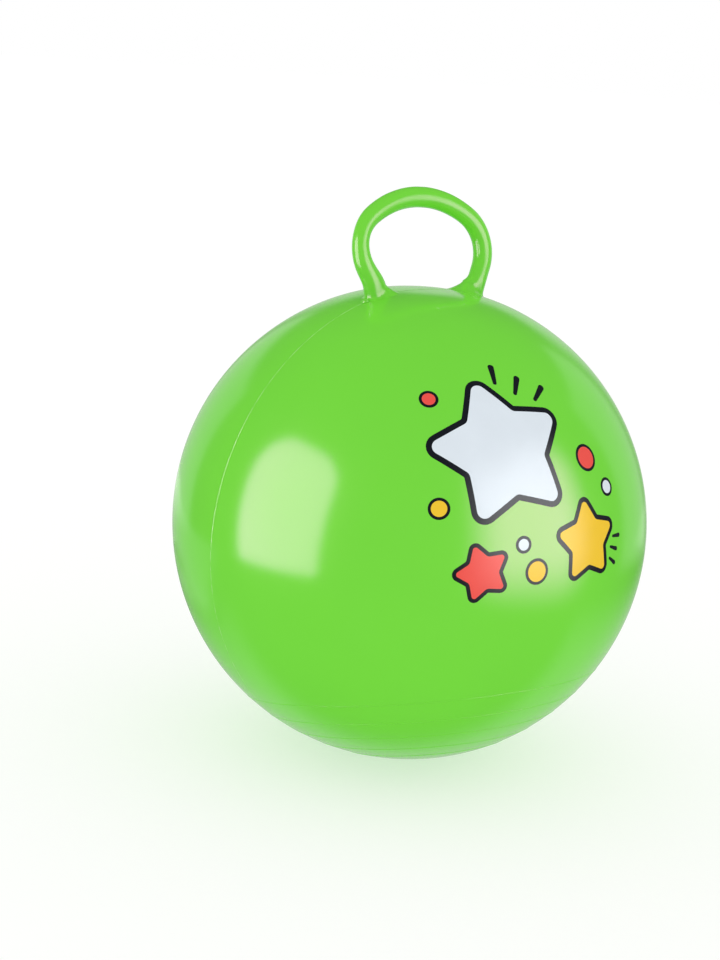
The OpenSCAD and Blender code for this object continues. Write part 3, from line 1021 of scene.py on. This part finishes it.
class HOPPER_OT_set_stage(Operator):
    """Sets up the pale floor, the soft studio light and the camera"""

    bl_idname = "hopper.set_stage"
    bl_label = "Set Stage"

    def execute(self, context):
        self.add_floor()
        self.add_studio()
        self.light_world(context.scene)
        self.add_camera(context.scene)
        context.scene.view_settings.view_transform = "Standard"
        return {"FINISHED"}

    def add_floor(self):
        """Lays matt white paper, lit from below just enough to look white where nothing shades it."""
        half = 30.0
        corners = [(-half, -half, 0), (half, -half, 0), (half, half, 0), (-half, half, 0)]
        material, tree, surface = new_material("matt_white_paper")
        shader = add_node(tree, "ShaderNodeBsdfPrincipled", {
            "Base Color": (*linear("#bcbcbb"), 1.0), "Roughness": 0.9, "Specular IOR Level": 0.0,
            "Emission Color": (1, 1, 1, 1), "Emission Strength": 0.54})
        tree.links.new(shader.outputs["BSDF"], surface)
        floor = new_mesh_object("floor", corners, [(0, 1, 2, 3)], material)
        floor.visible_glossy = False

    def add_studio(self):
        """Stands softboxes beside the ball and pale screens behind it, in a dark room.

        The skin, the ink and the loop each have their own. The ball's light only the side that faces them:
        on the far side they would leave a pale rim, which hides the ball's edge before the white ground.
        """
        near_side = 130 * MM
        # Height of the foot, width, height, taper and corner radii
        left_shape = (-0.22, 1.36, 1.51, 0.84, (0.08, 0.08, 0.55, 0.42))
        right_shape = (-0.55, 2.3, 2.35, 1, (0.1, 0.1, 0.2, 0.2))
        # Colour, strength and fades across and up
        rose, deep_rose = ("#ffb4f4", 7.6, 0.03, 0.03), ("#ff9cec", 8.9, 0.35, 0.35)
        pale_rose, white = ("#ffa8f0", 6.4, 0.35, 0.35), ("#ffffff", 6.0, 0.35, 0.35)
        # Name, azimuth, distance, shape, cloth, depth of the side that it lights, and pieces
        softboxes = [("left_softbox_skin", -99, 1.52, left_shape, rose, near_side, SKIN_PIECES + INK_PIECES),
                     ("left_softbox_loop", -99, 1.53, left_shape, rose, None, LOOP_PIECES),
                     ("right_softbox_skin", 18, 1.6, right_shape, deep_rose, near_side, SKIN_PIECES),
                     ("right_softbox_ink", 18, 1.61, right_shape, white, near_side, INK_PIECES),
                     ("right_softbox_loop", 18, 1.62, right_shape, pale_rose, None, LOOP_PIECES)]
        for name, azimuth, distance, shape, cloth, depth, pieces in softboxes:
            reach = None if depth is None else distance - depth
            box = add_softbox(name, azimuth, distance, *shape, glowing(name + "_cloth", *cloth, reach=reach))
            shine_only_on(box, pieces)
        screen_foot = -0.2
        # Name, first and last azimuth, distance, top, strength and fades across and up
        screens = [("right_screen", 72, 110, 1.5, 1.3, 0.5, 0.12, 0.1),
                   ("middle_screen", 104, 168, 1.52, 1.05, 0.55, 0.3, 0.2),
                   ("left_screen", 160, 202, 1.5, 1.0, 0.52, 0.08, 0.15)]
        for name, start, end, distance, top, *glow in screens:
            cloth = glowing(name + "_cloth", "#ffffff", *glow)
            add_screen(name, start, end, distance, screen_foot, top, cloth)
        # Name, near and far ends, right and left sides, strength and fades across and up
        cards = [("floor_card", -0.16, 1.4, -0.7, 0.52, 0.5, 0.35, 0.048),
                 ("left_card", -0.05, 1.3, 0.33, 1.0, 0.42, 0.13, 0.08),
                 ("right_card", 0.75, 1.45, -1.2, -0.35, 0.2, 0.15, 0.15)]
        for name, near, far, right, left, *glow in cards:
            self.add_card(name, near, far, right, left, glowing(name + "_paper", "#ffffff", *glow))
        self.add_room()

    def add_room(self):
        """Puts a dark round room about the stage, for the skin to reflect."""
        radius, roof, under_floor = 8.0, 6.0, -1.5
        level = all_round(Vector((0, 1, 0)), Vector((1, 0, 0)), 48)
        walls = [[d * radius + Vector((0, 0, z)) for d in level] for z in (under_floor, roof)]
        points = []
        rows = add_rows(points, walls)
        faces = tube_faces(rows) + [tuple(row) for row in rows]
        material, tree, surface = new_material("dark_room")
        light = add_node(tree, "ShaderNodeEmission", {"Color": (1, 1, 1, 1), "Strength": 0.1})
        tree.links.new(light.outputs["Emission"], surface)
        reflected_only(new_mesh_object("room", points, faces, material))

    def add_card(self, name, near, far, right, left, material):
        """Lays a pale card behind the ball as the camera sees it, between distances from the ball's foot."""
        behind = math.radians(140)
        away = toward(behind)
        across = Vector((0, 0, 1)).cross(away)
        places = [(0.0, 0.0), (1.0, 0.0), (1.0, 1.0), (0.0, 1.0)]
        points = []
        for u, v in places:
            points.append(away * (near + (far - near) * v) + across * (right + (left - right) * u))
        add_reflection(name, points, [(0, 1, 2, 3)], places, material)

    def light_world(self, scene):
        """Lights the ball evenly from all sides, a little less from above, before a white background."""
        world = bpy.data.worlds.new("studio")
        world.use_nodes = True
        tree = world.node_tree
        tree.nodes.clear()
        output = add_node(tree, "ShaderNodeOutputWorld")
        place = add_node(tree, "ShaderNodeTexCoord").outputs["Generated"]
        apart = add_node(tree, "ShaderNodeSeparateXYZ", {"Vector": place})
        level = add_node(tree, "ShaderNodeMapRange", {
            "Value": apart.outputs["Z"], "From Min": 0.0, "From Max": 1.0, "To Min": 1.02, "To Max": 0.9})
        path = add_node(tree, "ShaderNodeLightPath")
        seen = path.outputs["Is Camera Ray"]
        for kind in ("Is Glossy Ray", "Is Transmission Ray"):
            either = add_node(tree, "ShaderNodeMath", {0: seen, 1: path.outputs[kind]}, operation="MAXIMUM")
            seen = either.outputs["Value"]
        strength = add_node(tree, "ShaderNodeMix", {
            "Factor": seen, "A": level.outputs["Result"], "B": 1.0}, data_type="FLOAT")
        back = add_node(tree, "ShaderNodeBackground", {
            "Color": (1, 1, 1, 1), "Strength": strength.outputs["Result"]})
        tree.links.new(back.outputs["Background"], output.inputs["Surface"])
        scene.world = world

    def add_camera(self, scene):
        """Stands the camera where the photograph was taken, with the ball at its place in the image."""
        stage = scene.hopper_stage
        image_width, image_height = 720, 960
        ball_x, ball_y = 408.74, 521.31
        focal_px = 1881.2
        back = toward(stage.azimuth, stage.elevation)
        level_right = Vector((math.cos(stage.azimuth), math.sin(stage.azimuth), 0))
        right = Quaternion(back, stage.roll) @ level_right
        facing = Matrix((right, back.cross(right), back)).transposed()
        aim = Vector((ball_x - image_width / 2, image_height / 2 - ball_y, -focal_px))
        turn = aim.rotation_difference(Vector((0, 0, -1))).to_matrix()
        data = bpy.data.cameras.new("camera")
        data.sensor_width = 36.0
        data.lens = focal_px * data.sensor_width / max(image_width, image_height)
        camera = bpy.data.objects.new("camera", data)
        camera.matrix_world = Matrix.Translation(CENTRE + back * stage.distance) @ (facing @ turn).to_4x4()
        scene.collection.objects.link(camera)
        scene.camera = camera


class HOPPER_PT_build(Panel):
    """Lists the steps that build the hopper ball and their settings"""

    bl_idname = "HOPPER_PT_build"
    bl_label = "Hopper Ball"
    bl_space_type = "VIEW_3D"
    bl_region_type = "UI"
    bl_category = "Hopper Ball"

    def draw(self, context):
        for (settings, group), operator in zip(SETTINGS.items(), OPERATORS):
            box = self.layout.box()
            box.operator(operator.bl_idname)
            for name in group.__annotations__:
                box.prop(getattr(context.scene, settings), name)


OPERATORS = (HOPPER_OT_add_ball, HOPPER_OT_add_handle, HOPPER_OT_add_valve, HOPPER_OT_add_print,
             HOPPER_OT_set_stage)
CLASSES = (*SETTINGS.values(), *OPERATORS, HOPPER_PT_build)


def register():
    for kind in CLASSES:
        bpy.utils.register_class(kind)
    for name, group in SETTINGS.items():
        setattr(bpy.types.Scene, name, PointerProperty(type=group))


def unregister():
    for name in SETTINGS:
        delattr(bpy.types.Scene, name)
    for kind in reversed(CLASSES):
        bpy.utils.unregister_class(kind)


def main():
    register()
    bpy.ops.hopper.add_ball()
    bpy.ops.hopper.add_handle()
    bpy.ops.hopper.add_valve()
    bpy.ops.hopper.add_print()
    bpy.ops.hopper.set_stage()


if __name__ == "__main__":
    main()
